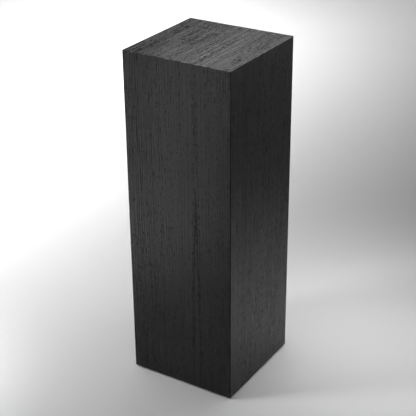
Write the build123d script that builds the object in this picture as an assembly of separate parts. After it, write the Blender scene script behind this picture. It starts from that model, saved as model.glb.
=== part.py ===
"""Square display plinth: a mitred box of dark-veneered boards standing on four levelling feet.

The frame is in millimetres: +Z is up, +Y is towards the back, and the origin is on the floor under
the middle of the plinth, with all four feet screwed home.

The box is made as a joiner makes it. Each of its five boards is a fibreboard core with a face veneer
outside and a balancing veneer inside, mitred to its neighbours. Loose tongues, here called splines,
lie in stopped grooves across the mitres. Softwood battens stiffen the corners and carry the top, and
a plywood base panel is screwed up into the lowest battens. Each foot is a threaded stud that runs in
a tee nut under the base panel and turns in its own pad.
"""

import os

from build123d import *

# --- The box -------------------------------------------------------------------------------------
WIDTH = 300.0  # both ways, over the face veneer
HEIGHT = 900.0  # from the floor to the display surface
FLOOR_GAP = 4.0  # the boards hang this far above the floor
FACE_VENEER = 0.6
CORE = 18.0
BACKING_VENEER = 0.6
ARRIS = 0.4  # how far each sharp outer edge is sanded back

# --- Joinery -------------------------------------------------------------------------------------
SPLINE_THICKNESS = 4.0
SPLINE_WIDTH = 18.0
GLUE_ROOM = 0.5  # the groove is this much deeper than the spline on each side
SPLINE_DEPTH = 12.0  # from the core's outer corner to the middle of the spline, along either face
SPLINE_STOP = 60.0  # the grooves end this far short of the box's corners
BATTEN = 22.0
BATTEN_CHAMFER = 2.0
BASE_THICKNESS = 18.0

# --- Levelling feet ------------------------------------------------------------------------------
FOOT_OFFSET = 100.0  # from the middle of the plinth to each foot, along X and along Y
SOLE_DIAMETER = 30.0
SOLE_THICKNESS = 2.0
PAD_DIAMETER = 34.0
PAD_RIM = 2.5  # height of the pad's upright edge
PAD_NECK_DIAMETER = 19.0
PAD_HEIGHT = 6.6
STUD_HEAD_DIAMETER = 12.0
STUD_HEAD_THICKNESS = 2.4
STUD_NECK_DIAMETER = 7.0
TURNING_ROOM = 0.3  # all round the stud's head and neck inside the pad
POCKET_FLOOR = 1.0  # thickness of the pad under the stud's head
PAD_ROUNDING = 0.8
SOLE_CHAMFER = 0.5
HEX_ACROSS_FLATS = 13.0
HEX_HEIGHT = 6.0
HEX_TO_PAD = 0.7
THREAD_DIAMETER = 8.0
THREAD_LENGTH = 30.0
STUD_END_CHAMFER = 1.0
THREAD_ROOM = 0.08  # radial, between the stud and the tee nut
STOP_ROOM = 0.2  # between the hexagon and the tee nut with the foot screwed home

# --- Tee nuts ------------------------------------------------------------------------------------
NUT_FLANGE_DIAMETER = 22.0
NUT_FLANGE_THICKNESS = 1.5
NUT_BARREL_DIAMETER = 10.0
NUT_BARREL_LENGTH = 11.0
PRONG_RADIUS = 9.0  # from the nut's axis to the middle of a prong
PRONG_WIDTH = 3.6
PRONG_THICKNESS = 1.4
PRONG_HEIGHT = 7.0
PRONGS = 4
PRONG_ANGLE = 45.0  # of the first prong, from the X axis

# --- Base screws ---------------------------------------------------------------------------------
SCREW_SPREAD = 70.0  # from the middle of a side to each of its two screws
SCREW_LENGTH = 35.0
SCREW_SHANK_DIAMETER = 4.0
SCREW_HEAD_DIAMETER = 8.0
SCREW_HEAD_HEIGHT = 2.2
SCREW_TIP_LENGTH = 4.0
RECESS_LENGTH = 4.4
RECESS_WIDTH = 1.0
RECESS_DEPTH = 1.6

# --- Worked out from the sizes above -------------------------------------------------------------
HALF = WIDTH / 2
CORE_OUTSIDE = FACE_VENEER  # depths are counted inwards from the finished face
CORE_INSIDE = FACE_VENEER + CORE
BOARD = CORE_INSIDE + BACKING_VENEER
CAVITY_HALF = HALF - BOARD
CAVITY_TOP = HEIGHT - BOARD
PAD_TOP = SOLE_THICKNESS + PAD_HEIGHT
HEX_BOTTOM = PAD_TOP + HEX_TO_PAD
HEX_TOP = HEX_BOTTOM + HEX_HEIGHT
BASE_BOTTOM = HEX_TOP + STOP_ROOM + NUT_FLANGE_THICKNESS
BASE_TOP = BASE_BOTTOM + BASE_THICKNESS
BATTEN_MIDDLE = CAVITY_HALF - BATTEN / 2  # from the plinth's middle to a batten's centre line

STANDING = (Align.CENTER, Align.CENTER, Align.MIN)  # centred on the axis, with its foot at zero
QUARTER_TURN = 90.0
SIDES = ("front", "right", "back", "left")  # each a quarter turn on from the last, seen from above
CORNERS = ("front_right", "back_right", "back_left", "front_left")


def turned(shape, quarters):
    """The shape after so many quarter turns about the plinth's upright axis."""
    return Rot(0, 0, QUARTER_TURN * quarters) * shape


# --- Boards --------------------------------------------------------------------------------------
def side_layer(outer, inner):
    """The front board's layer between two depths, mitred to its neighbours and to the top."""
    near, far = HALF - outer, HALF - inner
    plan = Polygon((-near, -near), (near, -near), (far, -far), (-far, -far), align=None)
    profile = Plane.YZ * Polygon(
        (-near, FLOOR_GAP),
        (-far, FLOOR_GAP),
        (-far, HEIGHT - inner),
        (-near, HEIGHT - outer),
        align=None,
    )
    return extrude(plan, HEIGHT) & extrude(profile, HALF, both=True)


def top_layer(outer, inner):
    """The top board's layer between two depths, mitred on all four edges."""
    near, far = HALF - outer, HALF - inner
    profile = Plane.XZ * Polygon(
        (-near, HEIGHT - outer),
        (near, HEIGHT - outer),
        (far, HEIGHT - inner),
        (-far, HEIGHT - inner),
        align=None,
    )
    prism = extrude(profile, HALF, both=True)
    return prism & turned(prism, 1)


def layer(name, outer, inner):
    """One layer of all five boards, as {node name: solid}."""
    found = {f"{name}_{side}": turned(side_layer(outer, inner), i) for i, side in enumerate(SIDES)}
    found[f"{name}_top"] = top_layer(outer, inner)
    return found


def eased_outline():
    """The whole outer block with its upright and top edges sanded back."""
    tall = HEIGHT - FLOOR_GAP
    block = Pos(0, 0, FLOOR_GAP) * Box(WIDTH, WIDTH, tall, align=STANDING)
    sharp = block.edges().filter_by(Axis.Z) + block.faces().sort_by(Axis.Z)[-1].edges()
    return chamfer(sharp, ARRIS)


def face_veneers():
    outline = eased_outline()
    leaves = layer("veneer", 0.0, FACE_VENEER)
    return {node: leaf & outline for node, leaf in leaves.items()}


def cores():
    """The fibreboard cores, with a groove for each spline that crosses their mitres."""
    grooves = [spline(GLUE_ROOM) for spline in spline_makers().values()]
    boards = layer("core", CORE_OUTSIDE, CORE_INSIDE)
    return {node: board - grooves for node, board in boards.items()}


def backing_veneers():
    return layer("backer", CORE_INSIDE, BOARD)


# --- Splines -------------------------------------------------------------------------------------
def upright_spline(extra):
    """The spline across the front right upright mitre; extra widens it to make its groove."""
    bottom, top = FLOOR_GAP + SPLINE_STOP, HEIGHT - SPLINE_STOP
    reach = HALF - CORE_OUTSIDE - SPLINE_DEPTH
    tongue = Box(SPLINE_WIDTH + 2 * extra, SPLINE_THICKNESS, top - bottom + 2 * extra)
    return Pos(reach, -reach, (bottom + top) / 2) * Rot(0, 0, 45) * tongue


def top_spline(extra):
    """The spline across the mitre between the front board and the top."""
    reach = HALF - CORE_OUTSIDE - SPLINE_DEPTH
    length = WIDTH - 2 * SPLINE_STOP + 2 * extra
    tongue = Box(length, SPLINE_WIDTH + 2 * extra, SPLINE_THICKNESS)
    return Pos(0, -reach, HEIGHT - CORE_OUTSIDE - SPLINE_DEPTH) * Rot(45, 0, 0) * tongue


def spline_makers():
    """{node name: function of the extra room}, for all eight splines."""
    makers = {}
    for i, corner in enumerate(CORNERS):
        makers[f"upright_spline_{corner}"] = lambda extra, i=i: turned(upright_spline(extra), i)
    for i, side in enumerate(SIDES):
        makers[f"top_spline_{side}"] = lambda extra, i=i: turned(top_spline(extra), i)
    return makers


def splines():
    return {node: make(0.0) for node, make in spline_makers().items()}


# --- Battens and base ----------------------------------------------------------------------------
def corner_batten():
    """The upright batten in the front right corner, from the base panel to the top board."""
    post = Box(BATTEN, BATTEN, CAVITY_TOP - BASE_TOP, align=STANDING)
    exposed = post.edges().filter_by(Axis.Z).filter_by(lambda e: e.center().X < 0 < e.center().Y)
    return Pos(BATTEN_MIDDLE, -BATTEN_MIDDLE, BASE_TOP) * chamfer(exposed, BATTEN_CHAMFER)


def side_batten(bottom):
    """A batten along the inside of the front board, between two corner battens."""
    length = 2 * (CAVITY_HALF - BATTEN)
    return Pos(0, -BATTEN_MIDDLE, bottom) * Box(length, BATTEN, BATTEN, align=STANDING)


def battens():
    found = {f"corner_batten_{c}": turned(corner_batten(), i) for i, c in enumerate(CORNERS)}
    screw_holes = at_base_screws(screw_blank())
    for i, side in enumerate(SIDES):
        found[f"top_batten_{side}"] = turned(side_batten(CAVITY_TOP - BATTEN), i)
        found[f"base_batten_{side}"] = turned(side_batten(BASE_TOP), i) - screw_holes
    return found


def screw_blank():
    """A countersunk wood screw without its recess, standing on its head at the origin."""
    shank_radius, head_radius = SCREW_SHANK_DIAMETER / 2, SCREW_HEAD_DIAMETER / 2
    outline = Polygon(
        (0, 0),
        (head_radius, 0),
        (shank_radius, SCREW_HEAD_HEIGHT),
        (shank_radius, SCREW_LENGTH - SCREW_TIP_LENGTH),
        (0, SCREW_LENGTH),
        align=None,
    )
    return revolve(Plane.XZ * outline, Axis.Z)


def base_screw():
    """A countersunk wood screw with a cross recess in its head."""
    slot = Box(RECESS_LENGTH, RECESS_WIDTH, 2 * RECESS_DEPTH)
    return screw_blank() - slot - turned(slot, 1)


def at_base_screws(shape):
    """The shape at every base screw: two on each side, up through the panel into the battens."""
    pair = [Pos(x, -BATTEN_MIDDLE, BASE_BOTTOM) * shape for x in (-SCREW_SPREAD, SCREW_SPREAD)]
    return [turned(one, i) for i in range(len(SIDES)) for one in pair]


def base_panel():
    """The plywood panel that closes the box, drilled for the screws and the tee nuts."""
    side = 2 * CAVITY_HALF
    panel = Pos(0, 0, BASE_BOTTOM) * Box(side, side, BASE_THICKNESS, align=STANDING)
    drilled = on_axis(NUT_BARREL_DIAMETER / 2, BASE_BOTTOM, BASE_TOP)
    prong_slots = [turned(at_foot(prongs()), i) for i in range(len(CORNERS))]
    nut_holes = [turned(at_foot(drilled), i) for i in range(len(CORNERS))]
    return panel - nut_holes - prong_slots - at_base_screws(screw_blank())


# --- Tee nuts and feet ---------------------------------------------------------------------------
def at_foot(shape):
    """Moves a shape made on the upright axis to the front right foot."""
    return Pos(FOOT_OFFSET, -FOOT_OFFSET, 0) * shape


def on_axis(radius, bottom, top):
    """An upright cylinder between two heights."""
    return Pos(0, 0, bottom) * Cylinder(radius, top - bottom, align=STANDING)


def prongs():
    """The tee nut's pointed prongs, cut and bent up from its flange."""
    outline = Plane.YZ * Polygon(
        (-PRONG_WIDTH / 2, BASE_BOTTOM),
        (PRONG_WIDTH / 2, BASE_BOTTOM),
        (PRONG_WIDTH / 2, BASE_BOTTOM + PRONG_HEIGHT / 2),
        (0, BASE_BOTTOM + PRONG_HEIGHT),
        (-PRONG_WIDTH / 2, BASE_BOTTOM + PRONG_HEIGHT / 2),
        align=None,
    )
    blade = Pos(PRONG_RADIUS, 0, 0) * extrude(outline, PRONG_THICKNESS / 2, both=True)
    return Part() + [Rot(0, 0, PRONG_ANGLE + i * 360 / PRONGS) * blade for i in range(PRONGS)]


def tee_nut():
    """A pronged tee nut, with its flange against the underside of the base panel."""
    flange = on_axis(NUT_FLANGE_DIAMETER / 2, BASE_BOTTOM - NUT_FLANGE_THICKNESS, BASE_BOTTOM)
    barrel = on_axis(NUT_BARREL_DIAMETER / 2, BASE_BOTTOM, BASE_BOTTOM + NUT_BARREL_LENGTH)
    bore = on_axis(THREAD_DIAMETER / 2 + THREAD_ROOM, 0, BASE_TOP)
    return flange + barrel + prongs() - bore


def stud():
    """The foot's stud: a head held in the pad, a hexagon to turn it by, and a threaded length."""
    head_bottom = SOLE_THICKNESS + POCKET_FLOOR + TURNING_ROOM
    head_top = head_bottom + STUD_HEAD_THICKNESS
    head = on_axis(STUD_HEAD_DIAMETER / 2, head_bottom, head_top)
    neck = on_axis(STUD_NECK_DIAMETER / 2, head_top, HEX_BOTTOM)
    hexagon = RegularPolygon(HEX_ACROSS_FLATS / 2, 6, major_radius=False)
    collar = Pos(0, 0, HEX_BOTTOM) * extrude(hexagon, HEX_HEIGHT)
    shank = on_axis(THREAD_DIAMETER / 2, HEX_TOP, HEX_TOP + THREAD_LENGTH)
    shank = chamfer(shank.edges().sort_by(Axis.Z)[-1], STUD_END_CHAMFER)
    return head + neck + collar + shank


def pad():
    """The foot's round pad, hollow in the middle for the stud's head."""
    outer, neck = PAD_DIAMETER / 2, PAD_NECK_DIAMETER / 2
    outline = Polygon(
        (0, SOLE_THICKNESS),
        (outer, SOLE_THICKNESS),
        (outer, SOLE_THICKNESS + PAD_RIM),
        (neck, PAD_TOP),
        (0, PAD_TOP),
        align=None,
    )
    upper_corners = outline.vertices().filter_by(lambda v: v.X > 0 and v.Y > SOLE_THICKNESS)
    floor = SOLE_THICKNESS + POCKET_FLOOR
    roof = floor + STUD_HEAD_THICKNESS + 2 * TURNING_ROOM
    pocket = on_axis(STUD_HEAD_DIAMETER / 2 + TURNING_ROOM, floor, roof)
    throat = on_axis(STUD_NECK_DIAMETER / 2 + TURNING_ROOM, roof, PAD_TOP)
    return revolve(Plane.XZ * fillet(upper_corners, PAD_ROUNDING), Axis.Z) - pocket - throat


def sole():
    """The soft disc under the pad."""
    disc = on_axis(SOLE_DIAMETER / 2, 0, SOLE_THICKNESS)
    return chamfer(disc.edges().sort_by(Axis.Z)[0], SOLE_CHAMFER)


def at_every_foot(name, shape):
    """The same piece at all four feet, as {node name: solid}."""
    return {f"{name}_{corner}": turned(at_foot(shape), i) for i, corner in enumerate(CORNERS)}


def tee_nuts():
    return at_every_foot("tee_nut", tee_nut())


# --- Everything ----------------------------------------------------------------------------------
def all_nodes():
    return {
        **face_veneers(),
        **cores(),
        **backing_veneers(),
        **splines(),
        **battens(),
        "base_panel": base_panel(),
        "base_screws": Compound(at_base_screws(base_screw())),
        **tee_nuts(),
        **at_every_foot("foot_stud", stud()),
        **at_every_foot("foot_pad", pad()),
        **at_every_foot("foot_sole", sole()),
    }


os.makedirs("parts", exist_ok=True)
for node, shape in all_nodes().items():
    export_step(shape, f"parts/{node}.step")
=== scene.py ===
"""A display plinth in black-stained oak veneer: its finishes, its veneer relief and its studio.

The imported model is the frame: every size and place below is in metres in the frame's own axes, with
+Z up, the front of the plinth towards -Y and the origin on the floor under its middle.
"""

import math
from collections import namedtuple

import bmesh
import bpy
from bpy.props import FloatProperty, FloatVectorProperty, IntProperty, PointerProperty
from mathutils import Matrix, Vector


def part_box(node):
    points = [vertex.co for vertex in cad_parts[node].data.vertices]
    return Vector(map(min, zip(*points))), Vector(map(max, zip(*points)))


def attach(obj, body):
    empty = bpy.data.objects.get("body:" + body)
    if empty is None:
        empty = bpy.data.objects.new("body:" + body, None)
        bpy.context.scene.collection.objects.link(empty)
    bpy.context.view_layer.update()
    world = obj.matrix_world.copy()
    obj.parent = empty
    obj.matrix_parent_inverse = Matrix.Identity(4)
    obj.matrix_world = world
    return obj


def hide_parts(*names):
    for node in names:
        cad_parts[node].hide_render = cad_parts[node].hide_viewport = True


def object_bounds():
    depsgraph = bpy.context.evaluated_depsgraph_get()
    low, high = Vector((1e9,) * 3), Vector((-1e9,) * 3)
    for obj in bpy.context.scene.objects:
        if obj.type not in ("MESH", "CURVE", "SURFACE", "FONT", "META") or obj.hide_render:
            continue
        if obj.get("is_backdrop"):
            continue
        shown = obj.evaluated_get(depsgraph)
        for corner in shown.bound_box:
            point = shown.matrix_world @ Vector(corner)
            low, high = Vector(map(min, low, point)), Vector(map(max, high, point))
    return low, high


bl_info = {
    "name": "Display Plinth",
    "version": (1, 0, 0),
    "blender": (4, 5, 0),
    "location": "View3D > Sidebar > Plinth",
    "description": "Veneers, finishes and lights a square display plinth",
    "category": "Object",
}

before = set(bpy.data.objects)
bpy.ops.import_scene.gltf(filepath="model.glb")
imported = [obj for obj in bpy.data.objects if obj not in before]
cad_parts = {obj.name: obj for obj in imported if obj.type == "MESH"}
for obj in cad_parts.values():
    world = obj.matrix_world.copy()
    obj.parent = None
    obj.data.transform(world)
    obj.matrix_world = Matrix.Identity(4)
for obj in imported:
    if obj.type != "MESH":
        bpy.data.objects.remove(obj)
CAD_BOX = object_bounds()
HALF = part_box("veneer_right")[1].x
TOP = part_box("veneer_top")[1].z
BOARD_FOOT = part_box("veneer_front")[0].z
LEAF_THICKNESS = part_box("veneer_front")[1].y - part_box("veneer_front")[0].y

MM = 0.001
SIDES = ("front", "right", "back", "left")
PANELS = SIDES + ("top",)
CORNERS = ("front_right", "back_right", "back_left", "front_left")
CROWN_HEIGHT = 0.60  # how high the crown of the figure stands on the front leaf
PINE_RING = 2.6 * MM
PINE_HEART = (-19.0 * MM, 27.0 * MM)  # off the batten, in its two directions across the grain
TREAD_RIDGES = 420.0  # to a metre, along each diagonal of the sole

Leaf = namedtuple("Leaf", "panel across along outward start heart heart_depth rise contrast seed")
"""One leaf of face veneer, and the part of the log that it was sliced from.

across, along and outward are its own directions, and start is added to the distance along it, so
that the top's grain runs on from the front's. heart is where the log's heart lies across the leaf,
heart_depth how far it lies behind the leaf at the crown of the figure, and rise how fast it falls
away above that. contrast is how strongly the grain shows.
"""
LEAVES = (
    Leaf("front", (1, 0, 0), (0, 0, 1), (0, -1, 0), 0.0, 0.050, 0.028, 0.0045, 0.9, 3.0),
    Leaf("top", (1, 0, 0), (0, 1, 0), (0, 0, 1), TOP + HALF, 0.050, 0.028, 0.0045, 2.0, 3.0),
    Leaf("right", (0, 1, 0), (0, 0, 1), (1, 0, 0), 0.0, -0.260, 0.060, 0.0100, 0.9, 17.0),
    Leaf("back", (-1, 0, 0), (0, 0, 1), (0, 1, 0), 0.0, -0.030, 0.035, 0.0300, 1.0, 29.0),
    Leaf("left", (0, -1, 0), (0, 0, 1), (-1, 0, 0), 0.0, 0.210, 0.050, 0.0120, 0.8, 41.0),
)


# --- Settings ------------------------------------------------------------------------------------
def length(name, description, default):
    return FloatProperty(name=name, description=description, default=default, unit="LENGTH", precision=5)


def colour(name, description, default):
    return FloatVectorProperty(
        name=name, description=description, default=default, size=4, subtype="COLOR", min=0, max=1
    )


def share(name, description, default):
    return FloatProperty(
        name=name, description=description, default=default, subtype="FACTOR", min=0, max=1
    )


def power(name, description, default):
    return FloatProperty(name=name, description=description, default=default, unit="POWER")


class PlinthVeneer(bpy.types.PropertyGroup):
    """The face veneer: its stain, its grain and how finely its relief is modelled."""

    stain: colour("Stain", "Colour of the smooth latewood", (0.0090, 0.0088, 0.0090, 1))
    deep_stain: colour("Deep stain", "Colour where the stain soaks in", (0.0032, 0.0031, 0.0032, 1))
    pore_stain: colour("Pore stain", "Colour inside the open pores", (0.0008, 0.0008, 0.0008, 1))
    # The rubbed edge colour is partly wear and partly a painted highlight: it is far paler than worn
    # stained oak, so that the top's edges show as a bright line.
    rubbed_and_highlit: colour("Rubbed edge", "Colour where the sharp edges have rubbed", (0.30, 0.285, 0.27, 1))
    ring_width: length("Ring width", "One year's growth in the log", 7.0 * MM)
    relief: length("Relief", "Scale of the relief, whose deepest pores reach 1.3 times this", 0.14 * MM)
    arris: length("Arris", "Radius of the sanded outer edges", 1.2 * MM)
    cell_across: length("Cell across", "Mesh size across the grain", 1.2 * MM)
    cell_along: length("Cell along", "Mesh size along the grain", 3.0 * MM)
    gloss: share("Roughness", "Roughness of the satin lacquer", 0.30)


class PlinthTimber(bpy.types.PropertyGroup):
    """The hidden timber: fibreboard, plywood, pine and the balancing veneer."""

    fibreboard: colour("Fibreboard", "Raw fibreboard", (0.36, 0.25, 0.15, 1))
    birch: colour("Birch", "Face of the birch plywood", (0.62, 0.46, 0.29, 1))
    pine: colour("Pine", "Planed pine, early in the year", (0.68, 0.48, 0.26, 1))
    pine_late: colour("Pine latewood", "Planed pine, late in the year", (0.42, 0.21, 0.08, 1))
    balancing: colour("Balancing veneer", "Unfinished veneer inside", (0.50, 0.36, 0.22, 1))
    ply: length("Ply", "Thickness of one ply", 1.4 * MM)


class PlinthFeet(bpy.types.PropertyGroup):
    """The levelling feet and the fixings."""

    pitch: length("Pitch", "Rise of the stud's thread in one turn", 1.25 * MM)
    thread_depth: length("Thread depth", "From crest to root", 0.70 * MM)
    thread_diameter: length("Thread diameter", "Over the crests", 8.0 * MM)
    head_diameter: length("Head diameter", "The captive head inside the pad", 12.0 * MM)
    head_thickness: length("Head thickness", "The captive head inside the pad", 2.4 * MM)
    neck_diameter: length("Neck diameter", "Between the head and the hexagon", 7.0 * MM)
    neck_length: length("Neck length", "Between the head and the hexagon", 3.6 * MM)
    hexagon: length("Hexagon", "Across the flats", 13.0 * MM)
    hexagon_height: length("Hexagon height", "Height of the hexagon", 6.0 * MM)
    segments: IntProperty(name="Segments", description="Faces round the stud", default=48, min=12)
    zinc: colour("Zinc", "Bright zinc plate", (0.60, 0.62, 0.65, 1))
    yellow_zinc: colour("Yellow zinc", "Yellow passivated screws", (0.72, 0.58, 0.28, 1))
    nylon: colour("Nylon", "Moulded black nylon", (0.020, 0.020, 0.021, 1))
    rubber: colour("Rubber", "Black rubber", (0.030, 0.030, 0.031, 1))


class PlinthStage(bpy.types.PropertyGroup):
    """The floor, the lights and the camera."""

    floor: colour("Floor", "Plain pale floor", (0.85, 0.85, 0.85, 1))
    floor_reach: length("Floor reach", "From the middle to the floor's edge", 6.5)
    surround: colour("Surround", "Pale studio wall all round", (1.0, 1.0, 1.0, 1))
    wall_brightness: share("Wall brightness", "At the horizon", 1.0)
    wall_height: share("Wall height", "Sine of the height at which the wall gives way to black", 0.52)
    strip_power: power("Strip", "Long box overhead, left", 81)
    fill_power: power("Fill", "Small box overhead, front left", 2.3)
    key_power: power("Key", "Softbox behind, to the left", 5.2)
    pool_power: power("Pool", "Small box overhead, right", 1.3)
    glint_power: power("Glint", "Small box aimed at the top", 3)
    corner_power: power("Corner", "Boxes beyond the right corners", 48)
    room_power: power("Room", "Each ceiling panel round the room", 107)
    camera_place: FloatVectorProperty(
        name="Camera", description="Where the camera stands", default=(1.3473, -2.1642, 1.7346),
        subtype="TRANSLATION",
    )
    camera_turn: FloatVectorProperty(
        name="Camera turn", description="Tilt, roll and turn", subtype="EULER",
        default=(math.radians(63.346), math.radians(0.446), math.radians(31.822)),
    )
    camera_lens: FloatProperty(name="Lens", description="Focal length", default=95.44, unit="CAMERA")


# --- Node arithmetic -----------------------------------------------------------------------------
def add_node(tree, kind, sockets, **settings):
    """Adds a node, sets it up, and feeds each named socket with a Field or a plain value."""
    node = tree.nodes.new(kind)
    for name, value in settings.items():
        setattr(node, name, value)
    for name, value in sockets.items():
        if isinstance(value, Field):
            tree.links.new(value.socket, node.inputs[name])
        else:
            node.inputs[name].default_value = value
    return node


class Field:
    """A number, vector or colour in a node tree; arithmetic on it adds the nodes."""

    def __init__(self, tree, socket):
        self.tree = tree
        self.socket = socket

    def maths(self, operation, *others):
        sockets = dict(enumerate((self, *others)))
        node = add_node(self.tree, "ShaderNodeMath", sockets, operation=operation)
        return Field(self.tree, node.outputs[0])

    def __add__(self, other):
        return self.maths("ADD", other)

    def __sub__(self, other):
        return self.maths("SUBTRACT", other)

    def __mul__(self, other):
        return self.maths("MULTIPLY", other)

    def __truediv__(self, other):
        return self.maths("DIVIDE", other)

    def absolute(self):
        return self.maths("ABSOLUTE")

    def fraction(self):
        return self.maths("FRACT")

    def whole(self):
        return self.maths("FLOOR")

    def root(self):
        return self.maths("SQRT")

    def least(self, other):
        return self.maths("MINIMUM", other)

    def most(self, other):
        return self.maths("MAXIMUM", other)

    def inverse(self):
        """One less this."""
        return (self * -1.0) + 1.0

    def step(self, low, high):
        """Rises smoothly from 0 at low to 1 at high, or falls if low is the larger."""
        if low > high:
            return self.step(high, low).inverse()
        sockets = {"Value": self, "From Min": low, "From Max": high}
        node = add_node(self.tree, "ShaderNodeMapRange", sockets, interpolation_type="SMOOTHSTEP")
        return Field(self.tree, node.outputs[0])

    def between(self, first, second):
        """first where this is 0, second where it is 1."""
        return (self * (second - first)) + first

    def towards(self, direction):
        """How far a place lies along a direction."""
        sockets = {0: self, 1: direction}
        node = add_node(self.tree, "ShaderNodeVectorMath", sockets, operation="DOT_PRODUCT")
        return Field(self.tree, node.outputs["Value"])

    def parts(self):
        """The X, Y and Z of a vector."""
        node = add_node(self.tree, "ShaderNodeSeparateXYZ", {0: self})
        return [Field(self.tree, socket) for socket in node.outputs]

    def blend(self, first, second):
        """first's colour where this is 0, second's where it is 1."""
        sockets = {0: self, 6: first, 7: second}
        node = add_node(self.tree, "ShaderNodeMix", sockets, data_type="RGBA")
        return Field(self.tree, node.outputs[2])


def noise(x, y, z, detail=2.0, roughness=0.5):
    """Smooth noise from 0 to 1, one unit to a lump, so a factor on a distance is lumps a metre."""
    tree = x.tree
    place = Field(tree, add_node(tree, "ShaderNodeCombineXYZ", {0: x, 1: y, 2: z}).outputs[0])
    sockets = {"Vector": place, "Scale": 1.0, "Detail": detail, "Roughness": roughness}
    return Field(tree, add_node(tree, "ShaderNodeTexNoise", sockets).outputs[0])


# --- Oak veneer ----------------------------------------------------------------------------------
def oak_figure(place, leaf, veneer):
    """The grain of a leaf of oak at a place: its bands of pores, streaks and clouds, its edges paled by
    wear and a painted highlight, and painted shade on its upright arrises and away from its heart.
    """
    across = place.towards(leaf.across)
    reach = place.towards(leaf.along)
    along = reach + leaf.start
    seed = leaf.seed
    drift = noise(across * 7.0, along * 1.3, seed, 1.0) - 0.5
    waver = noise(across * 45.0, along * 9.0, seed + 1.0, 1.0) - 0.5
    strayed = (across - leaf.heart) + (drift * 0.016) + (waver * 0.0022)
    behind = ((along - CROWN_HEIGHT) * leaf.rise) + leaf.heart_depth
    rings = ((strayed * strayed) + (behind * behind)).root() / veneer.ring_width
    year = rings.fraction()
    vigour = noise(rings.whole() * 0.73, seed, 5.0, 0.0).step(0.30, 0.62)
    early = year.step(0.0, 0.06) * year.step(0.50, 0.08) * 0.5
    late = year.step(0.84, 0.94) * year.step(1.0, 0.985)
    band = early.most(late) * vigour
    dashes = noise(strayed * 480.0, along * 58.0, seed + 2.0, 1.0)
    flecks = noise(strayed * 900.0, along * 95.0, seed + 3.0, 1.0)
    # Grows away from the heart: it strengthens the quartered figure, and below it lowers the lacquer's
    # reflectance there as a broad painted shade across the leaf.
    quarter = strayed.absolute().step(0.05, 0.19)
    patches = noise(across * 24.0, along * 10.0, seed + 7.0, 1.0).step(0.36, 0.62).between(0.35, 1.0)
    patches = patches * quarter.between(0.6, 1.25)
    streaks = ((noise(strayed * 330.0, along * 8.0, seed + 4.0, 3.0) - 0.5) * patches) + 0.5
    stripes = ((noise(strayed * 200.0, along * 17.0, seed + 6.0, 2.0) - 0.5) * patches) + 0.5
    clouds = noise(strayed * 16.0, along * 3.2, seed + 5.0, 2.0)
    crowd = (band * 0.24) + (clouds.step(0.35, 0.70) * 0.06) + (patches * 0.05)
    rows = (dashes + crowd).step(0.66, 0.80)
    pits = (flecks + crowd).step(0.64, 0.74)
    return {
        "band": band,
        "rows": rows,
        "pits": pits,
        "streaks": streaks,
        "stripes": stripes,
        "clouds": clouds,
        "quarter": quarter,
        "edge": edge_nearness(across, reach, leaf, veneer),
        "mitre": mitre_shade_nearness(across, leaf, veneer),
    }


def edge_nearness(across, reach, leaf, veneer):
    """1 on the edges round the plinth's top, which are painted paler, partly as worn edges and partly as
    a painted highlight along them, fading to 0 a little way in.
    """
    inner, outer = HALF - 2.0 * veneer.arris, HALF - 0.5 * veneer.arris
    if leaf.panel == "top":
        return across.absolute().step(inner, outer).most(reach.absolute().step(inner, outer))
    return (reach - TOP + HALF).step(inner, outer)


def mitre_shade_nearness(across, leaf, veneer):
    """1 on the upright arrises, which are made to reflect less as a painted shade line down each upright
    edge, fading to 0 a little way in.
    """
    if leaf.panel == "top":
        return across * 0.0  # the top has no upright arris
    return across.absolute().step(HALF - 2.0 * veneer.arris, HALF - 0.8 * veneer.arris)


def start_material(name):
    """A new material with its shader, and the place of the point being shaded."""
    material = bpy.data.materials.new(name)
    material.use_nodes = True
    tree = material.node_tree
    shader = tree.nodes["Principled BSDF"]
    coordinates = tree.nodes.new("ShaderNodeTexCoord")
    return material, shader, Field(tree, coordinates.outputs["Object"])


def feed(shader, **fields):
    """Links fields to the shader's sockets, by their names with spaces for underscores."""
    for name, field in fields.items():
        field.tree.links.new(field.socket, shader.inputs[name.replace("_", " ")])


def raise_surface(shader, height, distance, strength=1.0):
    """Fine relief that is too small to model, as a bump."""
    tree = height.tree
    sockets = {"Height": height, "Distance": distance, "Strength": strength}
    bump = add_node(tree, "ShaderNodeBump", sockets)
    tree.links.new(bump.outputs["Normal"], shader.inputs["Normal"])


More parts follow.
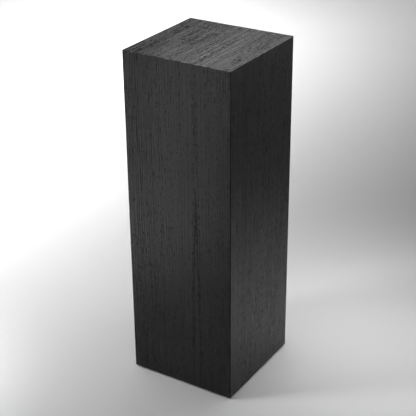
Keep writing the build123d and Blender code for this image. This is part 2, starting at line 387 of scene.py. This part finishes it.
def stained_oak(leaf, veneer):
    """Black-stained oak under a satin lacquer that leaves the pores open."""
    material, shader, place = start_material(f"stained_oak_{leaf.panel}")
    oak = oak_figure(place, leaf, veneer)
    soak = (oak["streaks"].step(0.66, 0.36) * 0.45) + (oak["stripes"].step(0.66, 0.34) * 0.45)
    soak = soak + (oak["clouds"].step(0.70, 0.30) * 0.20) + (oak["band"] * 0.45)
    wood = soak.least(1.0).blend(tuple(veneer.stain), tuple(veneer.deep_stain))
    # Painted highlight with some wear: the top's edges are paled more towards the leaf's +across side,
    # and there the pores close and the lacquer shines more.
    handling_and_highlight_side = noise(*[x * 60.0 for x in place.parts()], 3.0) + (place.towards(leaf.across) * 0.9)
    rub_and_highlight = oak["edge"] * handling_and_highlight_side.step(0.44, 0.60)
    worn_and_highlit = (rub_and_highlight * 0.7).blend(wood, tuple(veneer.rubbed_and_highlit))
    open_pore = (oak["rows"].most(oak["pits"] * 0.7)) * oak["edge"].between(1.0, 0.4)
    feed(shader, Base_Color=open_pore.blend(worn_and_highlit, tuple(veneer.pore_stain)))
    dull = (open_pore * 0.30) + (soak * 0.10) + (oak["quarter"] * 0.04)
    dull = (dull * leaf.contrast) + (veneer.gloss - 0.13)
    feed(shader, Roughness=dull)
    trapped = ((open_pore * 0.50) + (soak * 0.55)) * oak["edge"].inverse()
    # Painted shade: the leaf reflects less away from its heart, darkening the side of each leaf furthest
    # from it.
    shine = ((trapped - 0.32) * (-0.5 * leaf.contrast)) + (oak["quarter"] * -0.10) + 0.54
    # Painted shade: the upright arrises reflect only 0.35 as much, which draws a dark line down each
    # upright edge.
    feed(shader, Specular_IOR_Level=(shine * oak["mitre"].between(1.0, 0.35)).most(0.08))
    raise_surface(shader, (oak["streaks"] * 0.35) - open_pore, 0.12 * MM * leaf.contrast)
    shader.inputs["IOR"].default_value = 1.415
    shader.inputs["Specular Tint"].default_value = (1.0, 0.98, 1.0, 1.0)
    return material


# --- Face veneers --------------------------------------------------------------------------------
def leaf_extent(leaf):
    """The leaf's finished rectangle in its own across and along distances."""
    foot = -HALF if leaf.panel == "top" else BOARD_FOOT
    head = HALF if leaf.panel == "top" else TOP
    return foot, head


def leaf_mesh(leaf, veneer):
    """A closed leaf: a fine field on its face, a rounded arris, mitred edges and a flat back."""
    foot, head = leaf_extent(leaf)
    foot_in = veneer.arris if leaf.panel == "top" else 0.0
    side, low, high = HALF - veneer.arris, foot + foot_in, head - veneer.arris
    bm = bmesh.new()
    columns = round(2 * side / veneer.cell_across)
    rows = round((high - low) / veneer.cell_along)
    bmesh.ops.create_grid(bm, x_segments=columns, y_segments=rows, size=1.0)
    for v in bm.verts:
        v.co = (v.co.x * side, low + (v.co.y + 1) / 2 * (high - low), 0)
    edges = [e for e in bm.edges if e.is_boundary]
    for grown, depth in rim_steps(veneer.arris):
        extruded = bmesh.ops.extrude_edge_only(bm, edges=edges)["geom"]
        edges = [g for g in extruded if isinstance(g, bmesh.types.BMEdge)]
        for v in {v for e in edges for v in e.verts}:
            v.co = rim_place(v.co, side, low, high, foot_in, grown, depth)
        side, low, high = side + grown, low - (grown if foot_in else 0), high + grown
    bmesh.ops.contextual_create(bm, geom=edges)
    bmesh.ops.recalc_face_normals(bm, faces=bm.faces)
    mesh = bpy.data.meshes.new(f"veneer_leaf_{leaf.panel}")
    bm.to_mesh(mesh)
    bm.free()
    return mesh


def rim_steps(arris, steps=4):
    """(further out, deeper) from ring to ring: round the arris to its mitre, then in to the back."""
    turns = [math.radians(45 * i / steps) for i in range(steps + 1)]
    places = [(arris * math.sin(t), arris * (1 - math.cos(t))) for t in turns]
    places.append((arris - LEAF_THICKNESS, LEAF_THICKNESS))
    return [(b[0] - a[0], b[1] - a[1]) for a, b in zip(places, places[1:])]


def rim_place(co, side, low, high, foot_in, grown, depth):
    """Where a point on one ring goes on the next."""
    x, y, z = co
    close = 1e-7
    if abs(abs(x) - side) < close:
        x = math.copysign(side + grown, x)
    if abs(y - high) < close:
        y = high + grown
    elif foot_in and abs(y - low) < close:
        y = low - grown
    return (x, y, z - depth)


def carve_relief(piece, leaf, veneer):
    """Lets the pores and the brushed earlywood into the leaf's face, and applies it."""
    tree = bpy.data.node_groups.new(f"brushed_relief_{leaf.panel}", "GeometryNodeTree")
    tree.interface.new_socket("Leaf", in_out="INPUT", socket_type="NodeSocketGeometry")
    tree.interface.new_socket("Leaf", in_out="OUTPUT", socket_type="NodeSocketGeometry")
    source, result = tree.nodes.new("NodeGroupInput"), tree.nodes.new("NodeGroupOutput")
    place = Field(tree, tree.nodes.new("GeometryNodeInputPosition").outputs[0])
    oak = oak_figure(place, leaf, veneer)
    hollow = (oak["rows"] * 0.5) + (oak["band"] * 0.3) + (oak["stripes"].step(0.66, 0.34) * 0.5)
    depth = hollow * room_to_carve(place, leaf, veneer) * veneer.relief
    inward = add_node(tree, "ShaderNodeVectorMath", {0: [-x for x in leaf.outward]}, operation="SCALE")
    tree.links.new(depth.socket, inward.inputs["Scale"])
    move = tree.nodes.new("GeometryNodeSetPosition")
    tree.links.new(source.outputs[0], move.inputs["Geometry"])
    tree.links.new(inward.outputs[0], move.inputs["Offset"])
    tree.links.new(move.outputs[0], result.inputs[0])
    piece.modifiers.new("Relief", "NODES").node_group = tree
    graph = bpy.context.evaluated_depsgraph_get()
    carved = bpy.data.meshes.new_from_object(piece.evaluated_get(graph))
    piece.modifiers.clear()
    piece.data = carved


def room_to_carve(place, leaf, veneer):
    """1 over the leaf's face, falling to 0 before its edges so that neighbours meet flush."""
    across, reach = place.towards(leaf.across), place.towards(leaf.along)
    foot, head = leaf_extent(leaf)
    inner, outer = 4.0 * veneer.arris, veneer.arris
    sides = across.absolute().step(HALF - outer, HALF - inner)
    ends = reach.step(foot + outer, foot + inner) * reach.step(head - outer, head - inner)
    return sides * ends


class PLINTH_OT_face_veneers(bpy.types.Operator):
    """Lays the five leaves of face veneer, with their grain in relief"""

    bl_idname = "plinth.face_veneers"
    bl_label = "Face Veneers"

    def execute(self, context):
        veneer = context.scene.plinth_veneer
        for leaf in LEAVES:
            piece = bpy.data.objects.new(f"face_veneer_{leaf.panel}", leaf_mesh(leaf, veneer))
            context.collection.objects.link(piece)
            columns = [Vector(leaf.across), Vector(leaf.along), Vector(leaf.outward)]
            turn = Matrix(columns).transposed().to_4x4()
            finished_face = TOP if leaf.panel == "top" else HALF
            piece.data.transform(Matrix.Translation(columns[2] * finished_face) @ turn)
            carve_relief(piece, leaf, veneer)
            piece.data.shade_smooth()
            piece.data.set_sharp_from_angle(angle=math.radians(35))
            piece.data.materials.append(stained_oak(leaf, veneer))
            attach(piece, "carcass")
            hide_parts(f"veneer_{leaf.panel}")
        return {"FINISHED"}


# --- Hidden timber -------------------------------------------------------------------------------
def finish_nodes(material, names):
    """Gives carried-over nodes their material."""
    for name in names:
        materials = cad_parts[name].data.materials
        materials.clear()
        materials.append(material)


def raw_fibreboard(timber):
    """Sawn fibreboard: compressed fibres, paler flecks and a soft nap."""
    material, shader, place = start_material("raw_fibreboard")
    x, y, z = place.parts()
    fibres = noise(x * 900.0, y * 900.0, z * 900.0, 3.0, 0.7)
    lumps = noise(x * 60.0, y * 60.0, z * 60.0, 2.0)
    shade = (fibres.step(0.30, 0.70) * 0.6) + (lumps * 0.4)
    dark = [c * 0.62 for c in timber.fibreboard[:3]] + [1]
    feed(shader, Base_Color=shade.blend(tuple(dark), tuple(timber.fibreboard)))
    feed(shader, Roughness=(fibres * 0.15) + 0.78)
    raise_surface(shader, fibres, 0.15 * MM)
    return material


def balancing_veneer(timber):
    """Plain unfinished veneer: straight pale streaks and fine pores."""
    material, shader, place = start_material("balancing_veneer")
    x, y, z = place.parts()
    streaks = noise((x + y) * 260.0, (x - y) * 260.0, z * 4.0, 3.0)
    pores = noise((x + y) * 1400.0, (x - y) * 1400.0, z * 90.0, 1.0).step(0.60, 0.70)
    dark = [c * 0.70 for c in timber.balancing[:3]] + [1]
    shade = (streaks.step(0.30, 0.70) - (pores * 0.5)).most(0.0)
    feed(shader, Base_Color=shade.blend(tuple(dark), tuple(timber.balancing)))
    feed(shader, Roughness=(streaks * 0.15) + 0.62)
    raise_surface(shader, streaks - pores, 0.08 * MM)
    return material


def planed_pine(name, axis, timber):
    """Planed pine with its growth rings wrapped round a heart that lies off the batten."""
    material, shader, place = start_material(name)
    parts = place.parts()
    along = parts.pop(axis)
    first, second = parts
    waver = noise(first * 30.0, second * 30.0, along * 2.5, 1.0) - 0.5
    a, b = (first - PINE_HEART[0]) + (waver * 0.004), second - PINE_HEART[1]
    rings = ((a * a) + (b * b)).root() / PINE_RING
    late = rings.fraction().step(0.35, 0.95)
    fibres = noise(first * 900.0, second * 900.0, along * 25.0, 2.0)
    shade = ((late * 0.85) + (fibres * 0.25)).least(1.0)
    feed(shader, Base_Color=shade.blend(tuple(timber.pine), tuple(timber.pine_late)))
    feed(shader, Roughness=(fibres * 0.20) + 0.45)
    raise_surface(shader, late + (fibres * 0.4), 0.10 * MM)
    return material


def birch_plywood(timber):
    """Birch plywood: pale faces with faint figure, and the plies' turns of grain on its edges."""
    material, shader, place = start_material("birch_plywood")
    x, y, z = place.parts()
    turned_ply = ((z / timber.ply).whole() * 0.5).fraction().step(0.2, 0.3)
    curls = noise(x * 26.0, y * 9.0, z * 300.0, 2.0)
    fibres = noise(x * 700.0, y * 60.0, z * 700.0, 2.0)
    shade = (turned_ply * 0.35) + (curls.step(0.35, 0.70) * 0.35) + (fibres * 0.30)
    dark = [c * 0.66 for c in timber.birch[:3]] + [1]
    feed(shader, Base_Color=shade.blend(tuple(timber.birch), tuple(dark)))
    feed(shader, Roughness=(fibres * 0.20) + 0.48)
    raise_surface(shader, fibres, 0.06 * MM)
    return material


class PLINTH_OT_cores(bpy.types.Operator):
    """Finishes the five fibreboard cores"""

    bl_idname = "plinth.cores"
    bl_label = "Board Cores"

    def execute(self, context):
        timber = context.scene.plinth_timber
        finish_nodes(raw_fibreboard(timber), [f"core_{panel}" for panel in PANELS])
        return {"FINISHED"}


class PLINTH_OT_balancing_veneers(bpy.types.Operator):
    """Finishes the balancing veneers inside the boards"""

    bl_idname = "plinth.balancing_veneers"
    bl_label = "Balancing Veneers"

    def execute(self, context):
        timber = context.scene.plinth_timber
        finish_nodes(balancing_veneer(timber), [f"backer_{panel}" for panel in PANELS])
        return {"FINISHED"}


class PLINTH_OT_splines(bpy.types.Operator):
    """Finishes the plywood splines across the mitres"""

    bl_idname = "plinth.splines"
    bl_label = "Mitre Splines"

    def execute(self, context):
        names = [f"upright_spline_{corner}" for corner in CORNERS]
        names += [f"top_spline_{side}" for side in SIDES]
        finish_nodes(birch_plywood(context.scene.plinth_timber), names)
        return {"FINISHED"}


class PLINTH_OT_battens(bpy.types.Operator):
    """Finishes the pine battens, each with its grain along its length"""

    bl_idname = "plinth.battens"
    bl_label = "Battens"

    def execute(self, context):
        timber = context.scene.plinth_timber
        upright = planed_pine("planed_pine_upright", 2, timber)
        finish_nodes(upright, [f"corner_batten_{corner}" for corner in CORNERS])
        for name, axis, sides in (("wide", 0, ("front", "back")), ("deep", 1, ("right", "left"))):
            pine = planed_pine(f"planed_pine_{name}", axis, timber)
            finish_nodes(pine, [f"{level}_batten_{side}" for level in ("top", "base") for side in sides])
        return {"FINISHED"}


class PLINTH_OT_base_panel(bpy.types.Operator):
    """Finishes the plywood base panel"""

    bl_idname = "plinth.base_panel"
    bl_label = "Base Panel"

    def execute(self, context):
        finish_nodes(birch_plywood(context.scene.plinth_timber), ["base_panel"])
        return {"FINISHED"}


# --- Metal, nylon and rubber ---------------------------------------------------------------------
def zinc_plate(name, plate):
    """Electroplated steel: a mottled crystalline film with fine handling scratches."""
    material, shader, place = start_material(name)
    x, y, z = place.parts()
    mottle = noise(x * 700.0, y * 700.0, z * 700.0, 3.0, 0.6)
    bloom = noise(x * 90.0, y * 90.0, z * 90.0, 2.0)
    scratches = noise(x * 2600.0, y * 260.0, z * 900.0, 2.0)
    dark = [plate[0] * 0.62, plate[1] * 0.66, plate[2] * 0.72, 1]
    shade = (mottle * 0.5) + (bloom.step(0.30, 0.75) * 0.5)
    feed(shader, Base_Color=shade.blend(tuple(dark), tuple(plate)))
    feed(shader, Roughness=(mottle * 0.20) + (bloom * 0.15) + 0.18)
    shader.inputs["Metallic"].default_value = 1.0
    raise_surface(shader, mottle + scratches, 0.02 * MM)
    return material


def moulded_nylon(feet):
    """Black nylon with the fine spark-eroded texture of its mould, scuffed grey in places."""
    material, shader, place = start_material("moulded_nylon")
    x, y, z = place.parts()
    texture = noise(x * 1900.0, y * 1900.0, z * 1900.0, 1.0)
    scuffs = noise(x * 120.0, y * 120.0, z * 120.0, 4.0, 0.65).step(0.56, 0.72)
    grey = [c * 3.0 for c in feet.nylon[:3]] + [1]
    feed(shader, Base_Color=(scuffs * 0.6).blend(tuple(feet.nylon), tuple(grey)))
    feed(shader, Roughness=(texture * 0.15) + (scuffs * 0.15) + 0.38)
    raise_surface(shader, texture, 0.05 * MM)
    return material


def ridges(count):
    """How far each place lies from the middle of its ridge, 0.5 at either side of it."""
    return (count.fraction() - 0.5).absolute()


def black_rubber(feet):
    """Matt rubber, dusty where it has picked the floor up, with a shallow diamond tread."""
    material, shader, place = start_material("black_rubber")
    x, y, z = place.parts()
    tread = ridges((x + y) * TREAD_RIDGES).least(ridges((x - y) * TREAD_RIDGES))
    dust = noise(x * 300.0, y * 300.0, z * 300.0, 4.0, 0.6).step(0.45, 0.75)
    grey = [c * 4.0 for c in feet.rubber[:3]] + [1]
    feed(shader, Base_Color=(dust * 0.55).blend(tuple(feet.rubber), tuple(grey)))
    feed(shader, Roughness=(dust * 0.20) + 0.66)
    raise_surface(shader, tread.step(0.03, 0.12) + (dust * 0.15), 0.25 * MM)
    return material


class PLINTH_OT_base_screws(bpy.types.Operator):
    """Finishes the countersunk screws that hold the base panel"""

    bl_idname = "plinth.base_screws"
    bl_label = "Base Screws"

    def execute(self, context):
        plate = zinc_plate("yellow_zinc_plate", context.scene.plinth_feet.yellow_zinc)
        finish_nodes(plate, ["base_screws"])
        return {"FINISHED"}


class PLINTH_OT_tee_nuts(bpy.types.Operator):
    """Finishes the tee nuts under the base panel"""

    bl_idname = "plinth.tee_nuts"
    bl_label = "Tee Nuts"

    def execute(self, context):
        plate = zinc_plate("tee_nut_plate", context.scene.plinth_feet.zinc)
        finish_nodes(plate, [f"tee_nut_{corner}" for corner in CORNERS])
        return {"FINISHED"}


class PLINTH_OT_levelling_studs(bpy.types.Operator):
    """Turns the four levelling studs, with a real thread and a chamfered hexagon"""

    bl_idname = "plinth.levelling_studs"
    bl_label = "Levelling Studs"

    def execute(self, context):
        feet = context.scene.plinth_feet
        plate = zinc_plate("stud_plate", feet.zinc)
        for corner in CORNERS:
            low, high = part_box(f"foot_stud_{corner}")
            mesh = stud_mesh(low, high, feet)
            piece = bpy.data.objects.new(f"levelling_stud_{corner}", mesh)
            context.collection.objects.link(piece)
            mesh.materials.append(plate)
            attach(piece, f"stud_{corner}")
            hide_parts(f"foot_stud_{corner}")
        return {"FINISHED"}


def stud_mesh(low, high, feet):
    """One stud, as a stack of rings from its captive head up to its chamfered end."""
    centre = (low + high) / 2
    first_corner = 0.0 if high.x - low.x > high.y - low.y else math.pi / 2
    turns = [2 * math.pi * i / feet.segments for i in range(feet.segments)]
    bm = bmesh.new()
    previous = None
    for height, radius in stud_levels(low.z, high.z, feet):
        ring = []
        for turn in turns:
            r = radius(turn)
            angle = turn + first_corner
            place = (centre.x + r * math.cos(angle), centre.y + r * math.sin(angle), height)
            ring.append(bm.verts.new(place))
        if previous is None:
            bm.faces.new(reversed(ring))
        else:
            for i, vert in enumerate(ring):
                bm.faces.new((previous[i - 1], previous[i], vert, ring[i - 1]))
        previous = ring
    bm.faces.new(previous)
    mesh = bpy.data.meshes.new("levelling_stud")
    bmesh.ops.recalc_face_normals(bm, faces=bm.faces)
    bm.to_mesh(mesh)
    bm.free()
    mesh.shade_smooth()
    mesh.set_sharp_from_angle(angle=math.radians(32))
    return mesh


def stud_levels(bottom, top, feet):
    """(height, radius at a turn) for each ring of the stud."""
    head_top = bottom + feet.head_thickness
    hexagon_bottom = head_top + feet.neck_length
    hexagon_top = hexagon_bottom + feet.hexagon_height
    head, neck, crest = feet.head_diameter / 2, feet.neck_diameter / 2, feet.thread_diameter / 2
    eased, shoulder, hexagon_rings, rings_a_turn = 0.3 * MM, 0.02 * MM, 24, 12
    yield bottom, plain(head - eased)
    yield bottom + eased, plain(head)
    yield head_top, plain(head)
    yield head_top + shoulder, plain(neck)
    yield hexagon_bottom, plain(neck)
    for i in range(hexagon_rings + 1):
        height = feet.hexagon_height * i / hexagon_rings
        yield hexagon_bottom + height, hexagon_radius(height, feet)
    yield hexagon_top + shoulder, plain(crest - feet.thread_depth)
    rings = round((top - hexagon_top) / feet.pitch * rings_a_turn)
    for i in range(1, rings + 1):
        height = hexagon_top + (top - hexagon_top) * i / rings
        yield height, thread_radius(height, hexagon_top, top, feet)


def plain(radius):
    """The same radius at every turn."""
    return lambda turn: radius


def hexagon_radius(height, feet):
    """The hexagon's radius at each turn, with its corners turned off at both ends."""
    apothem = feet.hexagon / 2
    from_end = min(height, feet.hexagon_height - height)
    turned_off = 0.97 * apothem + from_end * math.tan(math.radians(60))
    sixth = math.pi / 3
    return lambda turn: min(turned_off, apothem / math.cos((turn % sixth) - sixth / 2))


def thread_radius(height, start, end, feet):
    """A right-handed thread that runs out at the hexagon and is chamfered at its end."""
    crest = feet.thread_diameter / 2
    chamfered = crest - max(0.0, height - (end - 1.0 * MM))
    fade = min(1.0, (height - start) / feet.pitch)

    def radius(turn):
        phase = (height / feet.pitch - turn / (2 * math.pi)) % 1.0
        flank = min(1.0, max(0.0, abs(phase - 0.5) * 2.6 - 0.15))
        return min(chamfered, crest - feet.thread_depth * (1 - fade + fade * flank))

    return radius


class PLINTH_OT_pads(bpy.types.Operator):
    """Finishes the feet's nylon pads"""

    bl_idname = "plinth.pads"
    bl_label = "Foot Pads"

    def execute(self, context):
        nylon = moulded_nylon(context.scene.plinth_feet)
        finish_nodes(nylon, [f"foot_pad_{corner}" for corner in CORNERS])
        return {"FINISHED"}


class PLINTH_OT_soles(bpy.types.Operator):
    """Finishes the rubber soles"""

    bl_idname = "plinth.soles"
    bl_label = "Soles"

    def execute(self, context):
        rubber = black_rubber(context.scene.plinth_feet)
        finish_nodes(rubber, [f"foot_sole_{corner}" for corner in CORNERS])
        return {"FINISHED"}


# --- Stage ---------------------------------------------------------------------------------------
class PLINTH_OT_stage(bpy.types.Operator):
    """Lays the floor, hangs the softboxes and sets the camera"""

    bl_idname = "plinth.stage"
    bl_label = "Stage"

    def execute(self, context):
        stage = context.scene.plinth_stage
        lay_floor(context, stage)
        light_surround(context.scene, stage)
        hang_lights(context, stage)
        set_camera(context, stage)
        context.scene.view_settings.view_transform = "Standard"
        return {"FINISHED"}


def lay_floor(context, stage):
    """A plain pale floor."""
    bm = bmesh.new()
    bmesh.ops.create_grid(bm, x_segments=1, y_segments=1, size=stage.floor_reach)
    mesh = bpy.data.meshes.new("floor")
    bm.to_mesh(mesh)
    bm.free()
    floor = bpy.data.objects.new("floor", mesh)
    context.collection.objects.link(floor)
    material, shader, place = start_material("pale_floor")
    x, y, z = place.parts()
    mottle = noise(x * 3.0, y * 3.0, z, 3.0)
    darker = [c * 0.985 for c in stage.floor[:3]] + [1]
    feed(shader, Base_Color=mottle.blend(tuple(darker), tuple(stage.floor)))
    shader.inputs["Roughness"].default_value = 0.7
    mesh.materials.append(material)
    floor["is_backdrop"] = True


def light_surround(scene, stage):
    """The pale wall round the stage, which gives way to black overhead."""
    world = bpy.data.worlds.new("surround")
    world.use_nodes = True
    tree = world.node_tree
    background = tree.nodes["Background"]
    background.inputs["Color"].default_value = stage.surround
    direction = Field(tree, tree.nodes.new("ShaderNodeTexCoord").outputs["Generated"])
    height = direction.parts()[2].most(0.0)
    strength = (height / stage.wall_height).inverse().most(0.0) * stage.wall_brightness
    tree.links.new(strength.socket, background.inputs["Strength"])
    scene.world = world


def hang_lights(context, stage):
    """Softboxes over, behind and beyond the plinth, and ceiling panels for the far floor."""
    down = Vector((0, 0, -1))
    hang_softbox(context, "strip", stage.strip_power, (-1.88, 0, 2.8), down, (1.7, 6.0), 66)
    hang_softbox(context, "fill", stage.fill_power, (-0.82, -0.70, 1.55), down, (0.5, 0.5), 34)
    hang_softbox(context, "pool", stage.pool_power, (0.35, 0.3, 1.8), down, (0.6, 0.6), 42)
    hang_softbox(context, "corner_front", stage.corner_power, (2.9, -2.9, 2.8), down, (3.6, 3.6), 100)
    hang_softbox(context, "corner_back", stage.corner_power, (4.6, 3.6, 2.8), down, (3.6, 3.6), 90)
    key_place = Vector((-1.2, 2.07, 2.26))
    aim = Vector((0, 0, TOP / 2)) - key_place
    hang_softbox(context, "key", stage.key_power, key_place, aim, (0.8, 0.8), 180)
    glint_place = Vector((-1.2, -1.1, 2.9))
    aim = Vector((0, 0, TOP)) - glint_place
    hang_softbox(context, "glint", stage.glint_power, glint_place, aim, (0.4, 0.4), 60)
    for side, place, size in (
        ("right", (5.8, 0, 3.0), (3.0, 16.0)),
        ("back", (0, 5.4, 3.0), (16.0, 3.0)),
        ("left", (-5.8, 0, 3.0), (3.0, 16.0)),
        ("front", (0, -5.8, 3.0), (16.0, 3.0)),
    ):
        hang_softbox(context, f"room_{side}", stage.room_power, place, down, size, 100)


def hang_softbox(context, name, power, place, aim, size, spread):
    """A rectangular softbox, aimed along a direction, with a grid that narrows its spread."""
    light = bpy.data.lights.new(name, "AREA")
    light.shape = "RECTANGLE"
    light.size, light.size_y = size
    light.energy = power
    light.spread = math.radians(spread)
    lamp = bpy.data.objects.new(name, light)
    lamp.location = place
    lamp.rotation_euler = aim.to_track_quat("-Z", "Y").to_euler()
    context.collection.objects.link(lamp)


def set_camera(context, stage):
    """The camera, at a visitor's eye height."""
    data = bpy.data.cameras.new("camera")
    data.sensor_width = 36.0
    data.lens = stage.camera_lens
    camera = bpy.data.objects.new("camera", data)
    camera.location = stage.camera_place
    camera.rotation_euler = stage.camera_turn
    context.collection.objects.link(camera)
    context.scene.camera = camera


# --- Panel and registration ----------------------------------------------------------------------
SETTINGS = {
    "plinth_veneer": PlinthVeneer,
    "plinth_timber": PlinthTimber,
    "plinth_feet": PlinthFeet,
    "plinth_stage": PlinthStage,
}
OPERATORS = (
    PLINTH_OT_face_veneers,
    PLINTH_OT_cores,
    PLINTH_OT_balancing_veneers,
    PLINTH_OT_splines,
    PLINTH_OT_battens,
    PLINTH_OT_base_panel,
    PLINTH_OT_base_screws,
    PLINTH_OT_tee_nuts,
    PLINTH_OT_levelling_studs,
    PLINTH_OT_pads,
    PLINTH_OT_soles,
    PLINTH_OT_stage,
)


class PLINTH_PT_panel(bpy.types.Panel):
    """Lists the plinth's pieces and their settings"""

    bl_label = "Display Plinth"
    bl_idname = "PLINTH_PT_panel"
    bl_space_type = "VIEW_3D"
    bl_region_type = "UI"
    bl_category = "Plinth"

    def draw(self, context):
        for operator in OPERATORS:
            self.layout.operator(operator.bl_idname)
        for name, group in SETTINGS.items():
            box = self.layout.box()
            for setting in group.__annotations__:
                box.prop(getattr(context.scene, name), setting)


def register():
    for group in SETTINGS.values():
        bpy.utils.register_class(group)
    for name, group in SETTINGS.items():
        setattr(bpy.types.Scene, name, PointerProperty(type=group))
    for operator in OPERATORS:
        bpy.utils.register_class(operator)
    bpy.utils.register_class(PLINTH_PT_panel)


def unregister():
    bpy.utils.unregister_class(PLINTH_PT_panel)
    for operator in reversed(OPERATORS):
        bpy.utils.unregister_class(operator)
    for name, group in reversed(SETTINGS.items()):
        delattr(bpy.types.Scene, name)
        bpy.utils.unregister_class(group)


def main():
    register()
    for operator in OPERATORS:
        group, name = operator.bl_idname.split(".")
        getattr(getattr(bpy.ops, group), name)()
    boxes = {"cad": CAD_BOX, "visual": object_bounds()}
    {name: [list(corner) for corner in box] for name, box in boxes.items()}


if __name__ == "__main__":
    main()
